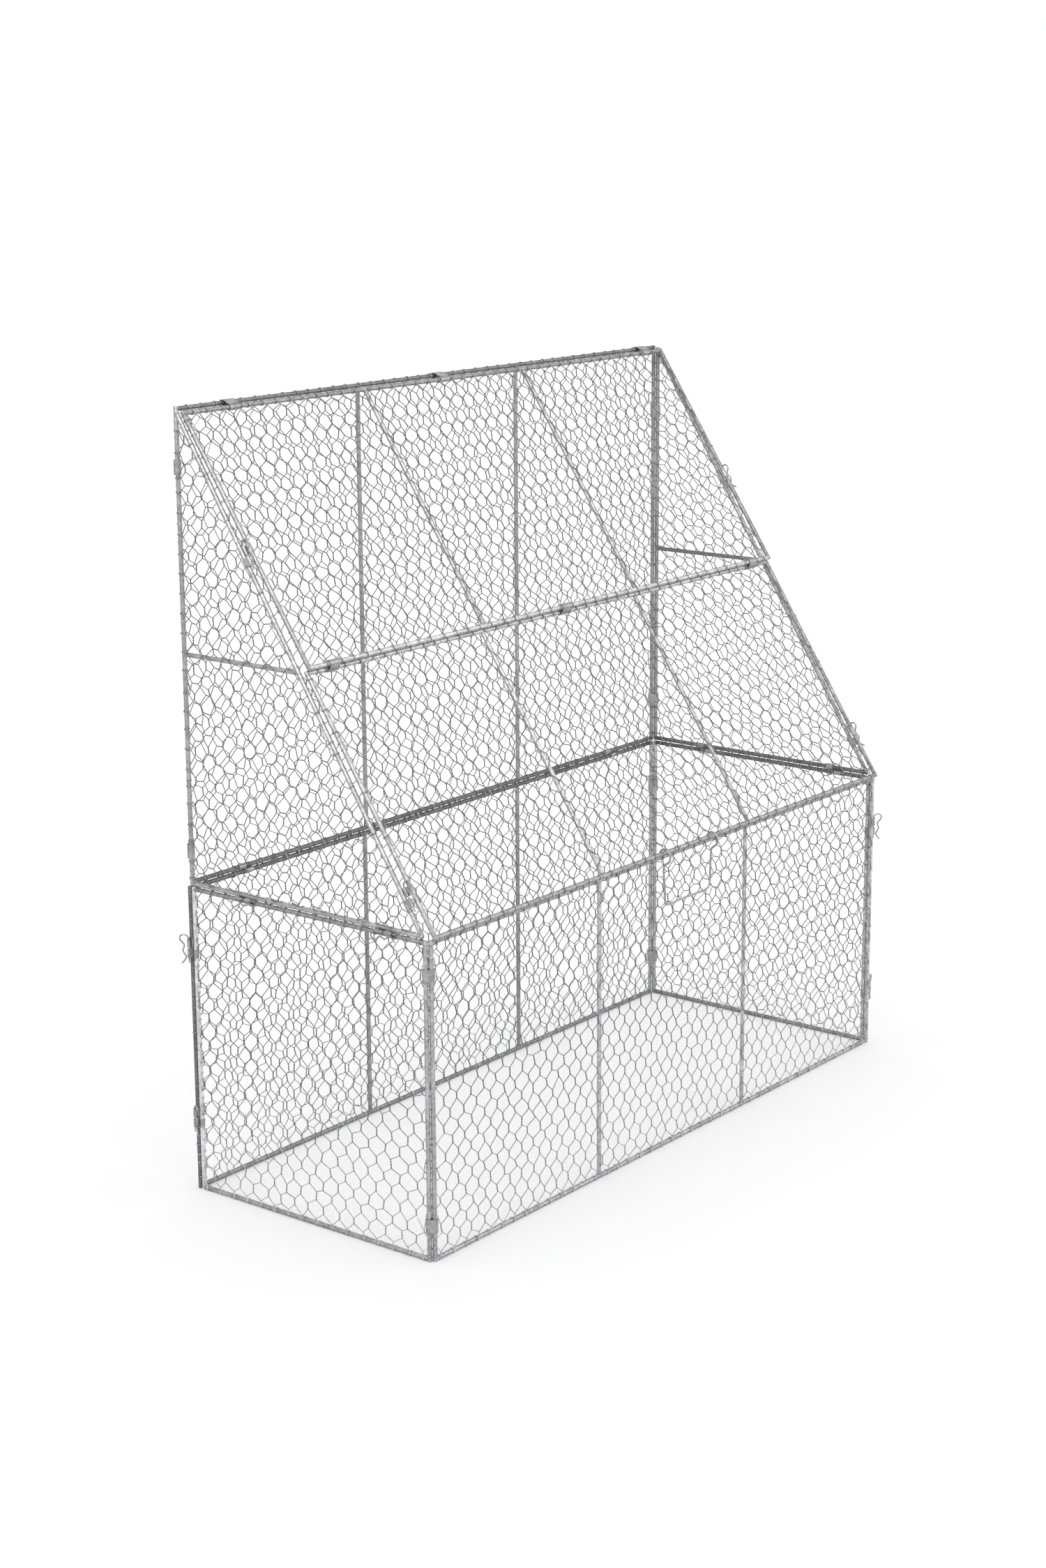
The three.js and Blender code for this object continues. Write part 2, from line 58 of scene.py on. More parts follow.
STRAP_WIDTH, STRAP_SHEET = 18.0, 0.8
BAND_WIDTH, BAND_SHEET = 11.5, 0.7
EYE_REACH, EYE_MIDDLE = 6.6, 1.8  # rod's centre to eye's centre, and radius of the eye's middle line
EYE_SIDE, LEG_CLEARANCE = 0.4, 3.0
FIRST_BAND, SECOND_BAND = 8.5, 23.0  # distances of a clip's two bands along its leg
CLIP_WIRE, CLIP_LEG = 1.0, 34.0  # radius and length
# Radii of the handle's wire and bow, and how far the bow's centre and the grip hang below the rail.
HANDLE_WIRE, HANDLE_BOW, HANDLE_BOW_DROP, HANDLE_DROP = 1.4, 10.4, 4.5, 72.0
# For the left and the right leg: the hook's place, the lean to the side, the radius of the corner.
HANDLE_X, HANDLE_LEAN, HANDLE_CORNER = (-34.0, 78.0), (2.0, -4.5), (4.0, 8.0)

STRAP_PLAY, STRAP_SPACE = 0.6, 0.05  # round the rods, and between the lapped layers
BAND_PLAY, BAND_LIP, EYE_CURL = 0.02, -38.0, 295.0  # gap in mm; where the sheet starts and curls, in degrees
WELD_LENGTH, WELD_RADIUS = 2.6, 3.25
CUT_EDGE = 0.75  # length of the broken edge at a rod's cut end


def vec(*values):
    return np.array(values, float)


def unit(v):
    v = np.asarray(v, float)
    return v / np.linalg.norm(v, axis=-1, keepdims=True)


def on_slope(x, along, above):
    y, z = SLOPE_TOP + DOWN * along + OUT * above
    return vec(x, y, z)


def lid_above(along):
    low, high = (LID_TOP, LID_MID_UPPER) if along < LID_MID_UPPER[0] else (LID_MID_LOWER, LID_END)
    return np.interp(along, (low[0], high[0]), (low[1], high[1]))


X, Y, Z = np.eye(3)
SLOPE = unit(on_slope(0, 1, 0) - on_slope(0, 0, 0))
SLOPE_OUT = vec(0, *OUT)


# --------------------------------------------------------------------- meshes
class Shape:
    """Faces gathered for one piece."""

    def __init__(self):
        self.points, self.quads, self.tris, self.count = [], [], [], 0
        self.tones, self.tone = [], 1.0

    def add(self, points, quads=(), tris=()):
        if len(quads):
            self.quads.append(np.asarray(quads, int) + self.count)
        if len(tris):
            self.tris.append(np.asarray(tris, int) + self.count)
        self.points.append(np.asarray(points, float))
        self.tones.append(np.full(len(points), self.tone))
        self.count += len(points)

    def piece(self, name, body, material, slot, nodes=(), sharp=None):
        points = np.concatenate(self.points) * MM
        quads = np.concatenate(self.quads or [np.zeros((0, 4), int)])
        tris = np.concatenate(self.tris or [np.zeros((0, 3), int)])
        starts = np.concatenate([np.arange(len(quads)) * 4, len(quads) * 4 + np.arange(len(tris)) * 3])
        mesh = bpy.data.meshes.new(name)
        mesh.vertices.add(len(points))
        mesh.vertices.foreach_set("co", points.ravel())
        mesh.loops.add(quads.size + tris.size)
        mesh.loops.foreach_set("vertex_index", np.concatenate([quads.ravel(), tris.ravel()]))
        mesh.polygons.add(len(starts))
        mesh.polygons.foreach_set("loop_start", starts)
        # The tone attribute is a factor on the colour at each point; on the rods it is partly painted light
        # and shade.
        mesh.attributes.new("tone", "FLOAT", "POINT").data.foreach_set("value", np.concatenate(self.tones))
        mesh.update(calc_edges=True)
        mesh.validate()
        mesh.polygons.foreach_set("use_smooth", np.ones(len(mesh.polygons), bool))
        if sharp:
            mesh.set_sharp_from_angle(angle=math.radians(sharp))
        mesh.materials.append(material)
        obj = bpy.data.objects.new(name, mesh)
        bpy.context.scene.collection.objects.link(obj)
        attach(obj, body)
        if nodes:
            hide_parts(*nodes)
        return obj


def grid_faces(rings, sides, count=1):
    """Quads of `count` tubes, each of `rings` rings with `sides` points, all facing outwards."""
    index = np.arange(count * rings * sides).reshape(count, rings, sides)
    a, d = index[:, :-1], index[:, 1:]
    b, c = np.roll(a, -1, axis=2), np.roll(d, -1, axis=2)
    return np.stack([a, b, c, d], -1).reshape(-1, 4)


def end_faces(rings, sides, count=1):
    """Triangles that close both ends of those tubes."""
    index = np.arange(count * rings * sides).reshape(count, rings, sides)
    fan = np.array([(0, i, i + 1) for i in range(1, sides - 1)])
    first, last = index[:, 0][:, fan[:, ::-1]], index[:, -1][:, fan]
    return np.concatenate([first.reshape(-1, 3), last.reshape(-1, 3)])


def tubes(shape, paths, side, radius, sides=4):
    """Round wires along many paths at once: paths are (n, k, 3), and side never runs along them."""
    paths = np.asarray(paths, float)
    count, rings, _ = paths.shape
    if not count:
        return
    tangent = unit(np.gradient(paths, axis=1))
    first = unit(np.cross(tangent, np.broadcast_to(side, paths.shape)))
    second = np.cross(tangent, first)
    turn = 2 * np.pi * (np.arange(sides) + 0.5) / sides
    radius = np.broadcast_to(radius, (count, rings))[:, :, None, None]
    ring = (
        first[:, :, None] * np.cos(turn)[:, None] + second[:, :, None] * np.sin(turn)[:, None]
    ) * radius + paths[:, :, None]
    shape.add(ring.reshape(-1, 3), grid_faces(rings, sides, count), end_faces(rings, sides, count))


def along_path(path):
    """A side direction for each point of a bent path, turned no more than the path itself turns."""
    tangent = unit(np.gradient(path, axis=0))
    start = X if abs(tangent[0] @ X) < 0.8 else Y
    sides = [unit(start - tangent[0] * (start @ tangent[0]))]
    for t in tangent[1:]:
        sides.append(unit(sides[-1] - t * (sides[-1] @ t)))
    return np.array(sides)


def smooth_path(points, steps):
    """Centripetal Catmull-Rom curve through the points, evenly resampled."""
    points = np.asarray(points, float)
    points = np.vstack([2 * points[0] - points[1], points, 2 * points[-1] - points[-2]])
    knots = np.concatenate([[0], np.cumsum(np.sqrt(np.linalg.norm(np.diff(points, axis=0), axis=1)))])
    curve = []
    for i in range(1, len(points) - 2):
        p0, p1, p2, p3 = points[i - 1 : i + 3]
        t0, t1, t2, t3 = knots[i - 1 : i + 3]
        t = np.linspace(t1, t2, 24, endpoint=False)[:, None]
        a1 = (t1 - t) / (t1 - t0) * p0 + (t - t0) / (t1 - t0) * p1
        a2 = (t2 - t) / (t2 - t1) * p1 + (t - t1) / (t2 - t1) * p2
        a3 = (t3 - t) / (t3 - t2) * p2 + (t - t2) / (t3 - t2) * p3
        b1 = (t2 - t) / (t2 - t0) * a1 + (t - t0) / (t2 - t0) * a2
        b2 = (t3 - t) / (t3 - t1) * a2 + (t - t1) / (t3 - t1) * a3
        curve.append((t2 - t) / (t2 - t1) * b1 + (t - t1) / (t2 - t1) * b2)
    curve = np.vstack(curve + [points[-2:-1]])
    far = np.concatenate([[0], np.cumsum(np.linalg.norm(np.diff(curve, axis=0), axis=1))])
    at = np.linspace(0, far[-1], steps)
    return np.stack([np.interp(at, far, curve[:, k]) for k in range(3)], 1)


def bent_wire(shape, points, radius, steps, sides=12):
    """A bent wire with rounded ends."""
    path = smooth_path(points, steps)
    start, end = unit(path[0] - path[1]), unit(path[-1] - path[-2])
    dome = [(0.95, 0.3), (0.75, 0.66), (0.4, 0.92)]
    first = [path[0] + start * radius * far for far, _ in dome]
    last = [path[-1] + end * radius * far for far, _ in dome[::-1]]
    path = np.vstack([first, path, last])
    thick = np.concatenate([[r for _, r in dome], np.ones(steps), [r for _, r in dome[::-1]]]) * radius
    tubes(shape, path[None], along_path(path)[None], thick[None], sides)


def turned(shape, start, axis, profile, sides=16):
    """A solid of revolution: profile is (distance along the axis, radius), from a point to a point."""
    axis = unit(axis)
    side = unit(np.cross(axis, X if abs(axis @ X) < 0.8 else Y))
    across = np.cross(axis, side)
    turn = 2 * np.pi * np.arange(sides) / sides
    spokes = side * np.cos(turn)[:, None] + across * np.sin(turn)[:, None]
    rings = np.array([start + axis * far + spokes * r for far, r in profile])
    shape.add(rings.reshape(-1, 3), grid_faces(len(profile), sides), end_faces(len(profile), sides))


def rod(shape, a, b, past=(ROD, ROD)):
    """A round rod with slightly broken edges, that runs on past its end points."""
    axis = unit(b - a)
    start = a - axis * past[0]
    length = np.linalg.norm(b - a) + sum(past)
    ends = [(0, ROD - CUT_EDGE), (0.2, ROD - 0.3), (CUT_EDGE, ROD)]
    middle = np.linspace(CUT_EDGE, length - CUT_EDGE, max(2, int(length / 40)))[1:-1]
    profile = ends + [(m, ROD) for m in middle] + [(length - far, r) for far, r in ends[::-1]]
    turned(shape, start, axis, profile)


def weld(shape, at, toward, rng):
    """A small bead in the corner between two rods."""
    rows, sides = 7, 12
    toward = unit(toward)
    side = unit(np.cross(toward, X if abs(toward @ X) < 0.8 else Y))
    across = np.cross(toward, side)
    theta = np.linspace(0.12, np.pi - 0.12, rows)[:, None]
    turn = (2 * np.pi * np.arange(sides) / sides)[None]
    r = 1 + rng.normal(0, 0.05, (rows, sides))
    size = rng.uniform(0.93, 1.07)
    along = -np.cos(theta) * r * WELD_LENGTH
    wide, high = (np.sin(theta) * wave * r * WELD_RADIUS for wave in (np.cos(turn), np.sin(turn)))
    local = along[..., None] * toward + wide[..., None] * side + high[..., None] * across
    points = at + toward * WELD_LENGTH + size * local
    shape.add(points.reshape(-1, 3), grid_faces(rows, sides), end_faces(rows, sides))


def sheet_strip(shape, path, origin, across, up, axis, width, sheet):
    """A bent strip of sheet: path is its middle line in the plane of across and up."""
    path = np.asarray(path, float)
    normal = unit(np.gradient(path, axis=0))[:, ::-1] * (1, -1)
    bevel = 0.12
    w, s = width / 2, sheet / 2
    half = [(-w + bevel, -s), (w - bevel, -s), (w, -s + bevel), (w, s - bevel)]
    section = half + [(-along, -off) for along, off in half]
    rings = []
    for p, n in zip(path, normal):
        for along, off in section:
            q = p + n * off
            rings.append(origin + across * q[0] + up * q[1] + axis * along)
    faces = grid_faces(len(path), 8)
    ends = end_faces(len(path), 8)
    if np.dot(np.cross(across, up), axis) < 0:
        faces, ends = faces[:, ::-1], ends[:, ::-1]
    shape.add(rings, faces, ends)


def arc(centre, radius, start, stop, steps):
    turn = np.radians(np.linspace(start, stop, steps))
    return np.stack([centre + radius * np.cos(turn), radius * np.sin(turn)], 1)


# ------------------------------------------------------------------- materials
GRAIN, CLOUDS, PITS = 900.0, 38.0, 420.0  # noise scales, per metre
CLOUD_SHARE, GRAIN_SHARE = 0.55, 0.42
DARK_END, LIGHT_END = 0.30, 0.72  # where the pattern reaches its darkest and its lightest
METALLIC, BUMP_HEIGHT, BLUE = 0.8, 0.0003, 1.02


def zinc(name, dark, light, rough, spangle=260.0, bump=0.25, warm=0.0):
    """Galvanised steel: spangle, cloudy patches and fine grain, in colour, roughness and bump."""
    material = bpy.data.materials.new(name)
    material.use_nodes = True
    nodes, links = material.node_tree.nodes, material.node_tree.links
    shader = nodes["Principled BSDF"]
    place = nodes.new("ShaderNodeTexCoord").outputs["Object"]

    def noise(scale, detail=3.0):
        node = nodes.new("ShaderNodeTexNoise")
        node.inputs["Scale"].default_value = scale
        node.inputs["Detail"].default_value = detail
        links.new(place, node.inputs["Vector"])
        return node.outputs["Fac"]

    def mix(a, b, share):
        node = nodes.new("ShaderNodeMix")
        node.inputs["Factor"].default_value = share
        links.new(a, node.inputs["A"])
        links.new(b, node.inputs["B"])
        return node.outputs["Result"]

    cells = nodes.new("ShaderNodeTexVoronoi")
    cells.inputs["Scale"].default_value = spangle
    links.new(place, cells.inputs["Vector"])
    tone = nodes.new("ShaderNodeSeparateColor")
    links.new(cells.outputs["Color"], tone.inputs["Color"])
    grain = noise(GRAIN)
    pattern = mix(mix(tone.outputs["Red"], noise(CLOUDS, 4.0), CLOUD_SHARE), grain, GRAIN_SHARE)
    ramp = nodes.new("ShaderNodeValToRGB")
    ramp.color_ramp.elements[0].position = DARK_END
    ramp.color_ramp.elements[1].position = LIGHT_END
    ramp.color_ramp.elements[0].color = (dark + warm, dark, dark * BLUE, 1)
    ramp.color_ramp.elements[1].color = (light + warm, light, light * BLUE, 1)
    links.new(pattern, ramp.inputs["Fac"])
    # The tone attribute scales the colour; on the rods it carries painted light and shade as well as the
    # zinc's own tone.
    tone_and_painted_light = nodes.new("ShaderNodeAttribute")
    tone_and_painted_light.attribute_name = "tone"
    shade = nodes.new("ShaderNodeVectorMath")
    shade.operation = "SCALE"
    links.new(ramp.outputs["Color"], shade.inputs[0])
    links.new(tone_and_painted_light.outputs["Fac"], shade.inputs["Scale"])
    links.new(shade.outputs["Vector"], shader.inputs["Base Color"])
    spread = nodes.new("ShaderNodeMapRange")
    spread.inputs["To Min"].default_value = rough - 0.12
    spread.inputs["To Max"].default_value = rough + 0.14
    links.new(mix(tone.outputs["Green"], grain, 0.5), spread.inputs["Value"])
    links.new(spread.outputs["Result"], shader.inputs["Roughness"])
    raised = nodes.new("ShaderNodeBump")
    raised.inputs["Strength"].default_value = bump
    raised.inputs["Distance"].default_value = BUMP_HEIGHT
    links.new(mix(noise(PITS), grain, 0.5), raised.inputs["Height"])
    links.new(raised.outputs["Normal"], shader.inputs["Normal"])
    shader.inputs["Metallic"].default_value = METALLIC
    return material


ROD_ZINC = zinc("rod_zinc", 0.19, 0.42, 0.5)
WELD_ZINC = zinc("weld_zinc", 0.14, 0.34, 0.6, bump=0.6)
NET_ZINC = zinc("netting_zinc", 0.10, 0.25, 0.5, spangle=500.0)
SHEET_ZINC = zinc("sheet_zinc", 0.22, 0.40, 0.45, spangle=180.0, bump=0.12)
WIRE_ZINC = zinc("clip_zinc", 0.20, 0.40, 0.35, spangle=600.0, bump=0.12, warm=0.012)


# --------------------------------------------------------------------- panels
def upright(corner, z):
    return vec(corner[0], corner[1], z)


BASE_BACK_LEFT, BASE_BACK_RIGHT = vec(LEFT, BACK, 0), vec(RIGHT - HINGE_STEP, BACK, 0)
BASE_FRONT_LEFT, BASE_FRONT_RIGHT = vec(LEFT + HINGE_STEP, FRONT, 0), vec(RIGHT, FRONT, 0)
LEFT_FRONT, LEFT_BACK = vec(LEFT, FRONT + HINGE_STEP, 0), vec(LEFT, BACK - CORNER_STEP, 0)
RIGHT_FRONT, RIGHT_BACK = vec(RIGHT, FRONT + CORNER_STEP, 0), vec(RIGHT, BACK - HINGE_STEP, 0)
UPPER_LEFT, UPPER_RIGHT = vec(LEFT + HINGE_STEP, BACK, 0), vec(RIGHT - HINGE_STEP, BACK, 0)
REAR_LEFT, REAR_RIGHT = vec(LEFT, BACK - HINGE_STEP, 0), vec(RIGHT, BACK - HINGE_STEP, 0)


def box_corners(start, end, low, high):
    return [upright(start, low), upright(end, low), upright(end, high), upright(start, high)]


def lid_corners(low, high):
    a, b = LEFT + HINGE_STEP, RIGHT - HINGE_STEP
    return [on_slope(a, *low), on_slope(b, *low), on_slope(b, *high), on_slope(a, *high)]


def triangle_corners(x):
    return [vec(x, REAR_LEFT[1], UPPER_FOOT), vec(x, *SLOPE_END), vec(x, *SLOPE_TOP)]


# Each panel: body, corners in order, outward direction, number of bays, direction of the twists,
# lean of the twists in degrees.
PANELS = {
    "base_back": ("base", box_corners(BASE_BACK_LEFT, BASE_BACK_RIGHT, ROD, BASE_TOP), Y, 3, "up", 5),
    "base_front": ("base", box_corners(BASE_FRONT_LEFT, BASE_FRONT_RIGHT, ROD, BASE_TOP), -Y, 3, "up", 9),
    "base_left": ("left_side", box_corners(LEFT_FRONT, LEFT_BACK, ROD, BASE_TOP), -X, 1, "up", 2),
    "base_right": ("right_side", box_corners(RIGHT_FRONT, RIGHT_BACK, ROD, BASE_TOP), X, 1, "along", 3),
    "upper_back": ("upper", box_corners(UPPER_LEFT, UPPER_RIGHT, UPPER_FOOT, UPPER_TOP), Y, 3, "up", 4),
    "lid_upper": ("lid_top_half", lid_corners(LID_MID_UPPER, LID_TOP), SLOPE_OUT, 3, "up", 8),
    "lid_lower": ("lid_bottom_half", lid_corners(LID_END, LID_MID_LOWER), SLOPE_OUT, 3, "up", 8),
    "upper_left": ("upper_left_side", triangle_corners(LEFT), -X, 2, "along", 3),
    "upper_right": ("upper_right_side", triangle_corners(RIGHT), X, 2, "along", 3),
}


# A factor on each rod's colour, in the order of panel_rods. These are fitted to how light the rods look from
# the camera, so each is partly the rod's own galvanising and partly painted light and shade: the light and
# shade that fall on that rod are painted into its colour.
ROD_TONES_AND_PAINTED_LIGHT = {
    "base_back": (0.78, 0.44, 0.5, 1.28, 0.92, 0.9),
    "base_front": (1.18, 1.07, 1.15, 1.58, 1.5, 1.52),
    "base_left": (1.06, 0.88, 1.2, 2.0),
    "base_right": (0.78, 0.44, 1.5, 1.32),
    "upper_back": (0.46, 0.62, 1.03, 0.94, 0.97, 1.03),
    "lid_upper": (1.62, 0.88, 0.98, 0.76, 1.15, 1.1),
    "lid_lower": (1.02, 1.52, 1.13, 0.85, 1.36, 1.1),
    "upper_left": (1.04, 1.17, 1.2, 1.15),
    "upper_right": (1.02, 0.44, 1.05, 0.58),
}


def panel_rods(name):
    """A panel's rods as (start, end, run-on past both ends)."""
    corners = PANELS[name][1]
    if len(corners) == 3:
        rear, front, top = corners
        bar = upright(rear, MID_BAR_Z)
        bar_front = on_slope(rear[0], (SLOPE_TOP[1] - MID_BAR_Z) / -DOWN[1], 0)
        return [(rear, top, ROD), (rear, front, RAIL_END), (top, front, RAIL_END), (bar, bar_front, 0)]
    a, b, c, d = corners
    rods = [(a, b, RAIL_END), (d, c, RAIL_END), (a, d, ROD), (b, c, ROD)]
    for share in np.arange(1, PANELS[name][3]) / PANELS[name][3]:
        rods.append((a + (b - a) * share, d + (c - d) * share, 0))
    return rods


# ------------------------------------------------------- straps and clip seats
STRAPS = []  # name, body, centres of the two rods, axis


def straps_along(prefix, body, places, first, second, axis):
    for i, place in enumerate(places):
        move = lambda p: np.where(np.abs(axis) > 0.5, place, p)
        STRAPS.append((f"{prefix}_strap_{i + 1}", body, move(first), move(second), axis))


lid_upper, lid_lower = PANELS["lid_upper"][1], PANELS["lid_lower"][1]
straps_along("front_left", "left_side", (47, 371), BASE_FRONT_LEFT, LEFT_FRONT, Z)
straps_along("back_right", "right_side", (62, 344), BASE_BACK_RIGHT, RIGHT_BACK, Z)
straps_along("upper_left", "upper_left_side", (463, 957), UPPER_LEFT, REAR_LEFT, Z)
straps_along("upper_right", "upper_right_side", (483, 932), UPPER_RIGHT, REAR_RIGHT, Z)
straps_along("top", "lid_top_half", (-421, -6, 470), PANELS["upper_back"][1][3], lid_upper[3], X)
straps_along("middle", "lid_bottom_half", (-466, 6, 464), lid_upper[0], lid_lower[3], X)

SEATS = []  # name, head, run, out
BANDS = {}  # panel -> (rod centre, eye centre, run)


def seat(name, head, run, out, first, second):
    """A clip and its two bands; first and second are (panel, rod centre at a distance along the leg)."""
    SEATS.append((name, head, run, out))
    for (panel, rod_at), far in ((first, FIRST_BAND), (second, SECOND_BAND)):
        BANDS.setdefault(panel, []).append((rod_at(far), head + run * far, run))


def upright_seat(name, z, leg, out, first, second):
    post = lambda panel, corner: (panel, lambda u: upright(corner, z - u))
    seat(name, upright(leg, z), -Z, unit(out), post(*first), post(*second))


for i, (z, out) in enumerate(((349, vec(-0.6, 0.8, 0)), (116, vec(-0.5, -0.87, 0)))):
    upright_seat(
        f"back_left_clip_{i + 1}", z, vec(LEFT - EYE_REACH, BACK - EYE_SIDE), out,
        ("base_back", BASE_BACK_LEFT), ("base_left", LEFT_BACK),
    )
for i, (z, out) in enumerate(((354, vec(0.6, -0.8, 0)), (100, vec(0.95, 0.3, 0)))):
    upright_seat(
        f"front_right_clip_{i + 1}", z, vec(RIGHT + EYE_REACH, FRONT + EYE_SIDE), out,
        ("base_front", BASE_FRONT_RIGHT), ("base_right", RIGHT_FRONT),
    )

LEG_Z = (UPPER_FOOT + BASE_TOP) / 2
LEG_STEP = math.sqrt(EYE_REACH**2 - (UPPER_FOOT - LEG_Z) ** 2)


def level_seat(name, head, run, out, upper, lower):
    def rail(panel, z):
        inside = np.abs(out) * (head - out * LEG_STEP) + Z * z
        return panel, lambda u: np.abs(run) * (head + run * u) + inside

    seat(name, head, run, unit(0.3 * out - Z), rail(upper, UPPER_FOOT), rail(lower, BASE_TOP))


for i, y in enumerate((116, -118)):
    level_seat(f"left_clip_{i + 1}", vec(LEFT - LEG_STEP, y, LEG_Z), -Y, -X, "upper_left", "base_left")
    level_seat(f"right_clip_{i + 1}", vec(RIGHT + LEG_STEP, y, LEG_Z), -Y, X, "upper_right", "base_right")
for i, x in enumerate((-428, 384)):
    level_seat(f"back_clip_{i + 1}", vec(x, BACK + LEG_STEP, LEG_Z), X, Y, "upper_back", "base_back")


def slope_seat(name, start, panel_x, lid_x, side_panel, lid_panel):
    middle = start + (FIRST_BAND + SECOND_BAND) / 2
    to_lid = on_slope(lid_x, middle, lid_above(middle)) - on_slope(panel_x, middle, 0)
    across = unit(np.cross(SLOPE, to_lid))
    aside = across if across[0] * panel_x > 0 else -across
    height = math.sqrt(max(EYE_REACH**2 - to_lid @ to_lid / 4, LEG_CLEARANCE**2))
    head = on_slope(panel_x, start, 0) + to_lid / 2 + aside * height
    lid_rod = lambda u: on_slope(lid_x, start + u, lid_above(start + u))
    side_rod = lambda u: on_slope(panel_x, start + u, 0)
    seat(name, head, SLOPE, SLOPE_OUT, (lid_panel, lid_rod), (side_panel, side_rod))


for i, lid_panel in enumerate(("lid_upper", "lid_lower")):
    left, right = (188, 653)[i], (210, 645)[i]
    slope_seat(f"lid_left_clip_{i + 1}", left, LEFT, LEFT + HINGE_STEP, "upper_left", lid_panel)
    slope_seat(f"lid_right_clip_{i + 1}", right, RIGHT, RIGHT - HINGE_STEP, "upper_right", lid_panel)

# Places on the rods that the netting's ends keep clear of: centre and half width.
STRAP_ROOM, BAND_ROOM, HOOK_ROOM = STRAP_WIDTH / 2 + 4.0, BAND_WIDTH / 2 + 3.0, 7.0
KEEP_CLEAR = [(p, STRAP_ROOM) for _, _, first, second, _ in STRAPS for p in (first, second)]
KEEP_CLEAR += [(centre, BAND_ROOM) for bands in BANDS.values() for centre, _, _ in bands]
KEEP_CLEAR += [(on_slope(x, *LID_END), HOOK_ROOM) for x in HANDLE_X]


# --------------------------------------------------------------------- netting
PITCH, ROW = 25.0, 18.2  # between twists in a row, and between rows
EDGE, FIRST_COLUMN = 4.2, 5.0  # the outer rows' distance from the rods, and the first column's
TWIST, TWIST_TURNS = 9.4, 1.5
NET_WIRE, STRAND = 0.58, 0.47  # radius of a single wire, and of each of two twisted together
NET_LEVEL = 4.45  # the netting runs this far outside its rods' centres
CLEAR_OF_ROD = 0.8  # a twist nearer to a rod than this is left out
DRIFT_ALONG, DRIFT_UP, RIPPLE = 2.6, 1.4, 0.5  # slow wander of the sheet
NODE_JITTER, LEAN_JITTER, TWIST_JITTER = 1.05, 7.0, 0.6  # mm, degrees, mm
STIFFNESS = (0.5, 1.7)  # how far a wire runs straight out of a twist
# How a wire's end is wound round a rod: turns, angle in degrees where it meets the rod, and sense.
WOUND_TWIST = ((1.05, 1.8), (40, 70), 1)
HOOKED_WIRE = ((0.5, 0.7), (20, 40), -1)
WIND_STEPS, WIND_PITCH = 14, 2.15 * NET_WIRE  # points in a turn, and how far a turn moves along the rod
WIND_GAP = (0.02, 0.25)  # between the wire and the rod
LEAD_TURN = 6.4  # length of a turn of the twisted pair on its way to a rod
END_MARGIN, SHARED_END = 7.0, 8.5  # from the rod's ends; ends closer than this are wound together
END_PULL = 0.35  # how much a further wire pulls a shared end towards itself
WOUND_TONE = 1.7  # the wires are lighter where they are wound round the rods
PALE_BELOW, PALE_MOST = 200.0, 0.9  # height under which the netting is paler, and how much at the ground
SINGLE = np.linspace(0, 1, 6)[:, None]  # shares of the way along a single wire


def waves(rng, size):
    """A slow, smooth wander over the sheet, about `size` millimetres."""
    turns = rng.uniform(0, 2 * np.pi, (3, 4))
    scale = rng.uniform(60, 170, (3, 2))
    return lambda p: size * sum(
        np.sin(p[..., 0] / s[0] + t[0]) * np.cos(p[..., 1] / s[1] + t[1]) for t, s in zip(turns, scale)
    ) / 1.6


class Sheet:
    """The flat sheet of one panel: its plane, and the outline that its rods make in it."""

    def __init__(self, corners, outward):
        self.origin = corners[0]
        self.u = unit(corners[1] - self.origin)
        self.out = unit(np.cross(corners[1] - self.origin, corners[-1] - self.origin))
        if self.out @ outward < 0:
            self.out = -self.out
        self.v = unit(np.cross(self.out, self.u))
        if (corners[-1] - self.origin) @ self.v < 0:
            self.v = -self.v
        self.outline = np.array([self.flat(c) for c in corners])
        self.size = self.outline.max(0)
        side = np.roll(self.outline, -1, axis=0) - self.outline
        self.run, self.length = unit(side), np.linalg.norm(side, axis=1)
        self.inward = np.stack([-self.run[:, 1], self.run[:, 0]], 1)
        if (self.outline.mean(0) - self.outline[0]) @ self.inward[0] < 0:
            self.inward = -self.inward

    def flat(self, point):
        return (point - self.origin) @ self.u, (point - self.origin) @ self.v

    def along(self, flat):
        return flat[0] * self.u + flat[1] * self.v

    def lift(self, flat, height):
        in_plane = flat[..., :1] * self.u + flat[..., 1:2] * self.v
        return self.origin + in_plane + np.asarray(height)[..., None] * self.out


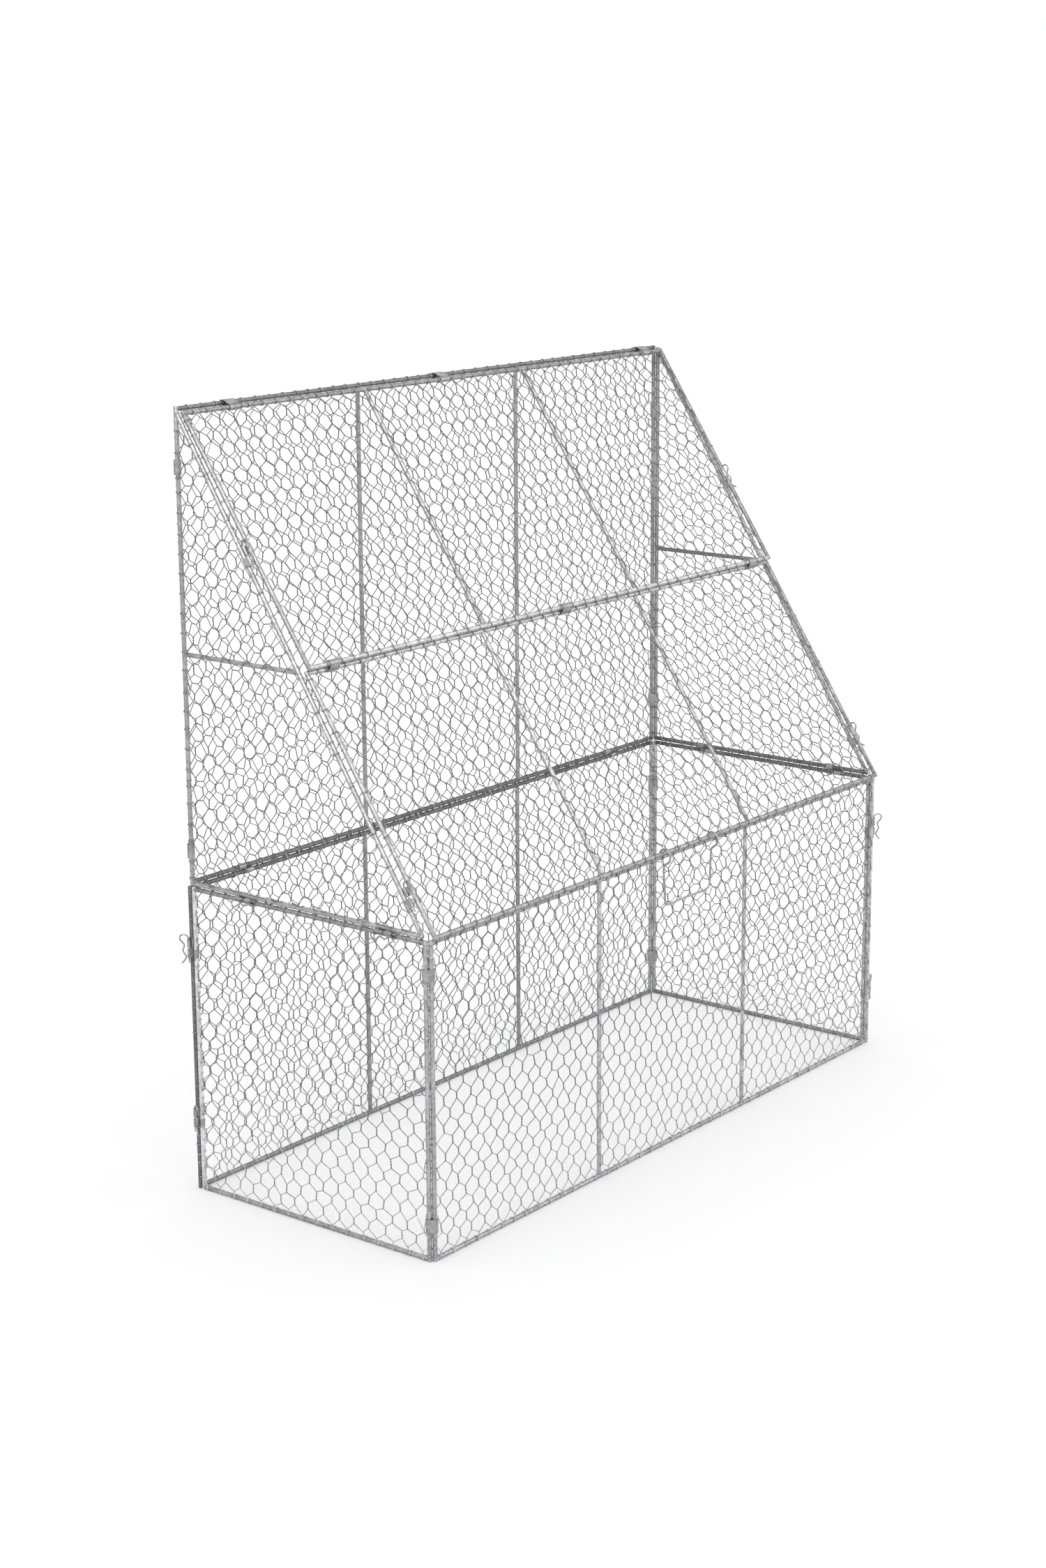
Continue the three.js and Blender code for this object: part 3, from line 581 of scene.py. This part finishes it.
def lattice(sheet, swap, lean, rng):
    """The ends of all twists, the direction of each, and the wires between them.

    Wires are pairs of ends, with their kinds: 0 is a twist, 1 and 2 slant to either side.
    """
    wide, tall = sheet.size[::-1] if swap else sheet.size
    spaces = round((tall - 2 * EDGE) / ROW)
    row = (tall - 2 * EDGE) / spaces
    rows = np.arange(-2, spaces + 3)
    columns = np.arange(-2, int(wide / PITCH) + 4)
    k, i = np.meshgrid(rows, columns, indexing="ij")
    centre = np.stack([(i + 0.5 * (k % 2)) * PITCH + FIRST_COLUMN, k * row + EDGE], -1).astype(float)
    drift_along, drift_up = waves(rng, DRIFT_ALONG), waves(rng, DRIFT_UP)
    drift = np.stack([drift_along(centre), drift_up(centre)], -1)
    centre = centre + drift + rng.normal(0, NODE_JITTER, centre.shape)
    angle = np.radians(lean + rng.normal(0, LEAN_JITTER, k.shape))
    reach = TWIST / 2 + rng.normal(0, TWIST_JITTER, k.shape)
    half = np.stack([-np.sin(angle), np.cos(angle)], -1) * reach[..., None]
    node = np.stack([centre - half, centre + half], 2).reshape(-1, 2)  # bottom and top of each twist
    heading = np.repeat(unit(half).reshape(-1, 2), 2, axis=0)
    if swap:
        node, heading = node[:, ::-1], heading[:, ::-1]

    index = np.arange(k.size).reshape(k.shape) * 2
    ends = [np.stack([index.ravel(), index.ravel() + 1], 1)]
    kinds = [np.zeros(k.size, int)]
    for side in (0, 1):  # from the top of a twist to the two above it
        for odd in (0, 1):
            low = index[:-1][rows[:-1] % 2 == odd]
            high = index[1:][rows[:-1] % 2 == odd]
            step = side + odd - 1
            start = low[:, max(0, -step) : low.shape[1] - max(0, step)]
            stop = high[:, max(0, step) : high.shape[1] - max(0, -step)]
            ends.append(np.stack([start.ravel() + 1, stop.ravel()], 1))
            kinds.append(np.full(start.size, 1 + side))
    return node, heading, np.concatenate(ends), np.concatenate(kinds)


def clear_place(sheet, edge, place):
    """A place along a rod, moved away from the rod's ends and from straps, bands and hooks."""
    place = float(np.clip(place, END_MARGIN, sheet.length[edge] - END_MARGIN))
    for point, width in KEEP_CLEAR:
        level = (point - sheet.origin) @ sheet.out
        from_corner = sheet.flat(point) - sheet.outline[edge]
        off, at = from_corner @ sheet.inward[edge], from_corner @ sheet.run[edge]
        if abs(off) < 1 and abs(level) < 1 and abs(place - at) < width:
            place = at + math.copysign(width, place - at)
    return place


def wire_ends(sheet, node, ends, kinds, depth, inside):
    """Where wires that leave the sheet meet a rod: (rod, place along it, [(last node, kind)])."""
    found = []
    for e in np.nonzero(inside[ends].any(1) & ~inside[ends].all(1))[0]:
        a, z = ends[e] if inside[ends[e][0]] else ends[e][::-1]
        edge = int(np.argmin(depth[z]))
        fall = depth[a, edge] - depth[z, edge]
        share = min(depth[a, edge] / max(fall, 1e-6), 2.5) if fall > 0 else 1.0
        hit = node[a] + (node[z] - node[a]) * share
        found.append((edge, (hit - sheet.outline[edge]) @ sheet.run[edge], (a, kinds[e])))

    groups = []
    for edge in range(len(sheet.outline)):
        joined = []
        for _, place, wire in sorted((w for w in found if w[0] == edge), key=lambda w: w[1]):
            place = clear_place(sheet, edge, place)
            if joined and place - joined[-1][1] < SHARED_END:
                joined[-1][2].append(wire)
                joined[-1][1] += (place - joined[-1][1]) * END_PULL
            else:
                joined.append([edge, place, [wire]])
        groups += joined
    return groups


def twisted_pairs(sheet, start, end, side, low, high):
    """Both strands of each twist."""
    s = np.linspace(0, 1, 11)
    middle = start[:, None] + (end - start)[:, None] * s[None, :, None]
    height = low[:, None] + (high - low)[:, None] * s
    for phase in (0, np.pi):
        turn = phase + 2 * np.pi * TWIST_TURNS * s
        flat_path = middle + side[:, None] * (STRAND * np.cos(turn))[None, :, None]
        yield sheet.lift(flat_path, height + STRAND * np.sin(turn))


def winding(sheet, edge, place, twisted, rng):
    """The path of a wire's end round a rod, and the rod's direction."""
    axis, across = sheet.along(sheet.run[edge]), sheet.along(sheet.inward[edge])
    turn_range, start_range, hand = WOUND_TWIST if twisted else HOOKED_WIRE
    turns, start = rng.uniform(*turn_range), math.radians(rng.uniform(*start_range))
    steps = int(turns * WIND_STEPS) + 2
    turn = start + np.linspace(0, 2 * np.pi * turns, steps) * hand
    sense = rng.choice((-1, 1))
    slide = (np.linspace(0, 1, steps) - 0.5) * turns * WIND_PITCH * sense
    middle = sheet.origin + sheet.along(sheet.outline[edge] + sheet.run[edge] * place)
    radial = across * np.cos(turn)[:, None] + sheet.out * np.sin(turn)[:, None]
    radius = ROD + NET_WIRE + rng.uniform(*WIND_GAP)
    coil = middle + radial * radius + axis * slide[:, None]
    coil[:, 2] = np.maximum(coil[:, 2], STRAND)  # nothing goes under the ground
    return coil, axis


def lead_in(shape, begin, coil, axis, kind, out, side, rng):
    """The wire or the twisted pair between the netting and the start of a winding."""
    goal = coil[0] + axis * rng.uniform(-0.4, 0.4)
    bend = 0.5 * (begin + goal) + axis * rng.normal(0, 0.5)
    if kind:
        line = (1 - SINGLE) ** 2 * begin + 2 * SINGLE * (1 - SINGLE) * bend + SINGLE**2 * goal
        tubes(shape, line[None], out, NET_WIRE)
        return
    s = np.linspace(0, 1, 10)
    middle = begin + (goal - begin) * s[:, None]
    turns = max(0.5, round(2 * np.linalg.norm(goal - begin) / LEAD_TURN) / 2)
    for phase in (0, np.pi):
        spin = phase + 2 * np.pi * s * turns
        strand = middle + STRAND * (side * np.cos(spin)[:, None] + out * np.sin(spin)[:, None])
        tubes(shape, strand[None], out, STRAND)


def netting(name):
    """Hexagonal netting of one panel: pairs of wires twisted together, ends wound round the rods."""
    body, corners, outward, bays, direction, lean = PANELS[name]
    rng = np.random.default_rng(sorted(PANELS).index(name) + 11)
    sheet = Sheet(corners, outward)
    out, swap = sheet.out, direction == "along"
    node, heading, ends, kinds = lattice(sheet, swap, lean, rng)
    depth = np.einsum("nec,ec->ne", node[:, None] - sheet.outline[None], sheet.inward)
    inside = depth.min(1) > ROD + CLEAR_OF_ROD
    groups = wire_ends(sheet, node, ends, kinds, depth, inside)

    level = NET_LEVEL + waves(rng, RIPPLE)(node)
    side = np.stack([heading[:, 1], -heading[:, 0]], 1) * (-1 if swap else 1)  # across each twist
    shapes = [Shape() for _ in range(bays)]

    def bay(point):
        if len(corners) == 3:
            return (point[..., 1] > MID_BAR_Z - UPPER_FOOT).astype(int)
        return np.searchsorted(np.arange(1, bays) / bays * sheet.size[0], point[..., 0])

    chosen = inside[ends].all(1) & (kinds == 0)
    low, high = ends[chosen].T
    where = bay((node[low] + node[high]) / 2)
    strands = list(twisted_pairs(sheet, node[low], node[high], side[low], level[low], level[high]))
    for j in range(bays):
        for strand in strands:
            tubes(shapes[j], strand[where == j], out, STRAND)

    for kind, sign in ((1, -1), (2, 1)):
        chosen = inside[ends].all(1) & (kinds == kind)
        low, high = ends[chosen].T
        a = node[low] + side[low] * STRAND * sign
        b = node[high] - side[high] * STRAND * sign
        reach = rng.uniform(*STIFFNESS, (len(a), 1))
        c, d = a + heading[low] * reach, b - heading[high] * reach
        s = SINGLE[None]
        path = (
            (1 - s) ** 3 * a[:, None] + 3 * s * (1 - s) ** 2 * c[:, None]
            + 3 * s**2 * (1 - s) * d[:, None] + s**3 * b[:, None]
        )
        height = level[low][:, None] * (1 - s[..., 0]) + level[high][:, None] * s[..., 0]
        points = sheet.lift(path, height)
        where = bay((a + b) / 2)
        for j in range(bays):
            tubes(shapes[j], points[where == j], out, NET_WIRE)

    for shape in shapes:
        shape.tone = WOUND_TONE
    for edge, place, wires in groups:
        shape = shapes[int(bay(sheet.outline[edge] + sheet.run[edge] * place + sheet.inward[edge] * 2))]
        coil, axis = winding(sheet, edge, place, any(kind == 0 for _, kind in wires), rng)
        tubes(shape, coil[None], axis, STRAND)
        for a, kind in wires:
            begin = sheet.lift(node[a], level[a])
            lead_in(shape, begin, coil, axis, kind, out, sheet.along(side[a]), rng)

    for j, shape in enumerate(shapes):
        shape.tones = [
            tone * (1 + PALE_MOST * np.clip(1 - point[:, 2] / PALE_BELOW, 0, 1))
            for tone, point in zip(shape.tones, shape.points)
        ]
        label = f"{name}_netting" + (f"_{j + 1}" if bays > 1 else "")
        shape.piece(f"{label}_wires", body, NET_ZINC, "netting", [label])


# --------------------------------------------------------------------- frames
def band(shape, rod_centre, eye_centre, axis):
    """Sheet band crimped on a rod, its end rolled into an eye for a clip."""
    reach = np.linalg.norm(eye_centre - rod_centre)
    across = unit(eye_centre - rod_centre)
    up = np.cross(axis, across)
    wrap = ROD + BAND_SHEET / 2 + BAND_PLAY
    leaves = math.degrees(math.acos((wrap - EYE_MIDDLE) / reach)) - 360  # where the sheet leaves the rod
    path = np.vstack([
        arc(0, wrap, BAND_LIP, leaves, 30),
        arc(reach, EYE_MIDDLE, leaves, leaves - EYE_CURL, 24),
    ])
    sheet_strip(shape, path, rod_centre, across, up, axis, BAND_WIDTH, BAND_SHEET)


def build_frame(name):
    body = PANELS[name][0]
    rng = np.random.default_rng(sorted(PANELS).index(name) + 40)
    rods, welds, bands = Shape(), Shape(), Shape()
    lines = panel_rods(name)
    # Each rod's tone is partly its galvanising and partly painted light and shade.
    for (a, b, past), tone in zip(lines, ROD_TONES_AND_PAINTED_LIGHT[name]):
        rods.tone = tone
        rod(rods, a, b, (past, past))
    for n, (a, b, past) in enumerate(lines):
        for end, toward in ((a, b - a), (b, a - b)):
            for m, (c, d, _) in enumerate(lines):
                line = unit(d - c)
                off = end - c
                if m != n and np.linalg.norm(off - line * (off @ line)) < 1 and n > 1:
                    weld(welds, end, toward, rng)
    rods.piece(f"{name}_rods", body, ROD_ZINC, "rod", [f"{name}_frame"], sharp=50)
    welds.piece(f"{name}_welds", body, WELD_ZINC, "rod")
    for centre, eye, axis in BANDS.get(name, []):
        band(bands, centre, eye, axis)
    if BANDS.get(name):
        bands.piece(f"{name}_bands", body, SHEET_ZINC, "sheet", sharp=40)


def build_strap(name, body, first, second, axis):
    """Sheet folded round two rods, its ends lapped on the flat."""
    gap = np.linalg.norm(second - first)
    across = unit(second - first)
    up = np.cross(axis, across)
    middle = ROD + STRAP_PLAY + STRAP_SHEET / 2
    lap = middle + STRAP_SHEET + STRAP_SPACE
    path = np.vstack([
        [(gap * 0.5 + 0.4, -middle), (gap * 0.75, -middle)],
        arc(gap, middle, -88, 90, 15),
        arc(0, middle, 90, 270, 16),
        [(0.9, -middle - 0.25), (1.8, -lap)],
        [(gap * 0.5, -lap), (gap + 1.0, -lap)],
    ])
    shape = Shape()
    sheet_strip(shape, path, first, across, up, axis, STRAP_WIDTH, STRAP_SHEET)
    shape.piece(f"{name}_sheet", body, SHEET_ZINC, "sheet", [name], sharp=40)


def build_clip(name, head, run, out):
    outline = [
        (CLIP_LEG, 0), (CLIP_LEG / 2, 0), (2.6, 0), (-0.8, 1.5), (-2.8, 4.4), (-3.2, 7.8), (-1.2, 10.8),
        (2.2, 11.6), (5.8, 9.8), (8.4, 7.2), (11.2, 6), (14.4, 6.6), (17.8, 8), (21.6, 6.6), (26.4, 3.9),
        (30, 5), (35, 9.2),
    ]
    shape = Shape()
    bent_wire(shape, [head + run * a + out * b for a, b in outline], CLIP_WIRE, 90)
    shape.piece(f"{name}_wire", name, WIRE_ZINC, "wire", [name])


def hook_outline():
    """From the hook's end behind the rail, over it and round the front bow, to the leg: (back, up)."""
    turn = np.radians(np.arange(180, 49, -26))
    bow = np.stack([-0.9 - HANDLE_BOW * np.sin(turn), -HANDLE_BOW_DROP - HANDLE_BOW * np.cos(turn)], 1)
    end = [(4, -3.3), (5.2, -0.6), (4.7, 2.3), (2.4, 4.7)]
    neck = [(-4.6, -14.2), (-1.4, -17.6), (-0.6, -23)]
    return np.vstack([end, bow, neck])


def handle_half(x, lean, corner, inwards):
    """From a hook's end to the end of the straight grip."""
    bottom = x + lean
    steps = [(x, back, up) for back, up in hook_outline()] + [
        (x + lean * 0.6, -1.4, -0.65 * HANDLE_DROP),
        (bottom, -2, corner - HANDLE_DROP),
        (bottom + inwards * corner * 0.3, -2, corner * 0.3 - HANDLE_DROP),
        (bottom + inwards * corner, -2, -HANDLE_DROP),
    ]
    return np.array(steps) + on_slope(0, *LID_END)


def build_handle():
    left = handle_half(HANDLE_X[0], HANDLE_LEAN[0], HANDLE_CORNER[0], 1)
    right = handle_half(HANDLE_X[1], HANDLE_LEAN[1], HANDLE_CORNER[1], -1)
    shape = Shape()
    bent_wire(shape, np.vstack([left, [(left[-1] + right[-1]) / 2], right[::-1]]), HANDLE_WIRE, 320)
    shape.piece("lifting_handle_wire", "handle", WIRE_ZINC, "wire", ["lifting_handle"])


for panel in PANELS:
    build_frame(panel)
    netting(panel)
for strap in STRAPS:
    build_strap(*strap)
for clip in SEATS:
    build_clip(*clip)
build_handle()


# ---------------------------------------------------------- floor, light, camera
FLOOR, FLOOR_WHITE = 30.0, 0.975  # half its side in metres, and its tone
CAMERA_AT = (-2.958, -2.259, 1.411)
AZIMUTH, ELEVATION, ROLL = math.radians(-51.94), math.radians(14.07), math.radians(-0.32)
SENSOR, LENS = 36.0, 95.472


def floor():
    mesh = bpy.data.meshes.new("floor")
    corners = [(-FLOOR, -FLOOR, 0), (FLOOR, -FLOOR, 0), (FLOOR, FLOOR, 0), (-FLOOR, FLOOR, 0)]
    mesh.from_pydata(corners, [], [(0, 1, 2, 3)])
    material = bpy.data.materials.new("floor_white")
    material.use_nodes = True
    shader = material.node_tree.nodes["Principled BSDF"]
    shader.inputs["Base Color"].default_value = (FLOOR_WHITE, FLOOR_WHITE, FLOOR_WHITE, 1)
    shader.inputs["Roughness"].default_value = 0.9
    shader.inputs["Specular IOR Level"].default_value = 0.1
    shader.inputs["Emission Color"].default_value = (1, 1, 1, 1)
    shader.inputs["Emission Strength"].default_value = 0.07
    mesh.materials.append(material)
    obj = bpy.data.objects.new("floor", mesh)
    backdrop.objects.link(obj)


def lamp(name, place, size, power):
    """A square lamp aimed at the cage, that doesn't light the backdrop."""
    data = bpy.data.lights.new(name, "AREA")
    data.size = size
    data.energy = power
    obj = bpy.data.objects.new(name, data)
    obj.location = place
    aim = Vector((0, 0, 0.5)) - obj.location
    obj.rotation_mode = "QUATERNION"
    obj.rotation_quaternion = aim.to_track_quat("-Z", "Y")
    bpy.context.scene.collection.objects.link(obj)
    obj.light_linking.receiver_collection = backdrop
    backdrop.collection_objects[0].light_linking.link_state = "EXCLUDE"


backdrop = bpy.data.collections.new("backdrop")  # lit by the sky alone, so that it stays even
bpy.context.scene.collection.children.link(backdrop)
floor()
lamp("key", (-3.5, -2.0, 4.0), 2.5, 220)
lamp("fill", (3.0, -4.0, 2.5), 3.0, 80)
world = bpy.data.worlds.new("studio")
world.use_nodes = True
world.node_tree.nodes["Background"].inputs["Color"].default_value = (1, 1, 1, 1)
world.node_tree.nodes["Background"].inputs["Strength"].default_value = 1.02
bpy.context.scene.world = world
bpy.context.scene.view_settings.view_transform = "Standard"

back = Vector((
    math.sin(AZIMUTH) * math.cos(ELEVATION),
    -math.cos(AZIMUTH) * math.cos(ELEVATION),
    math.sin(ELEVATION),
))
right = Vector((math.cos(AZIMUTH), math.sin(AZIMUTH), 0))
up = back.cross(right)
right, up = (
    math.cos(ROLL) * right + math.sin(ROLL) * up,
    -math.sin(ROLL) * right + math.cos(ROLL) * up,
)
camera = bpy.data.objects.new("camera", bpy.data.cameras.new("camera"))
camera.data.sensor_fit = "HORIZONTAL"
camera.data.sensor_width = SENSOR
camera.data.lens = LENS
camera.data.clip_end = 200
turned_to = Matrix((right, up, back)).transposed().to_4x4()
camera.matrix_world = Matrix.Translation(CAMERA_AT) @ turned_to
bpy.context.scene.collection.objects.link(camera)
bpy.context.scene.camera = camera
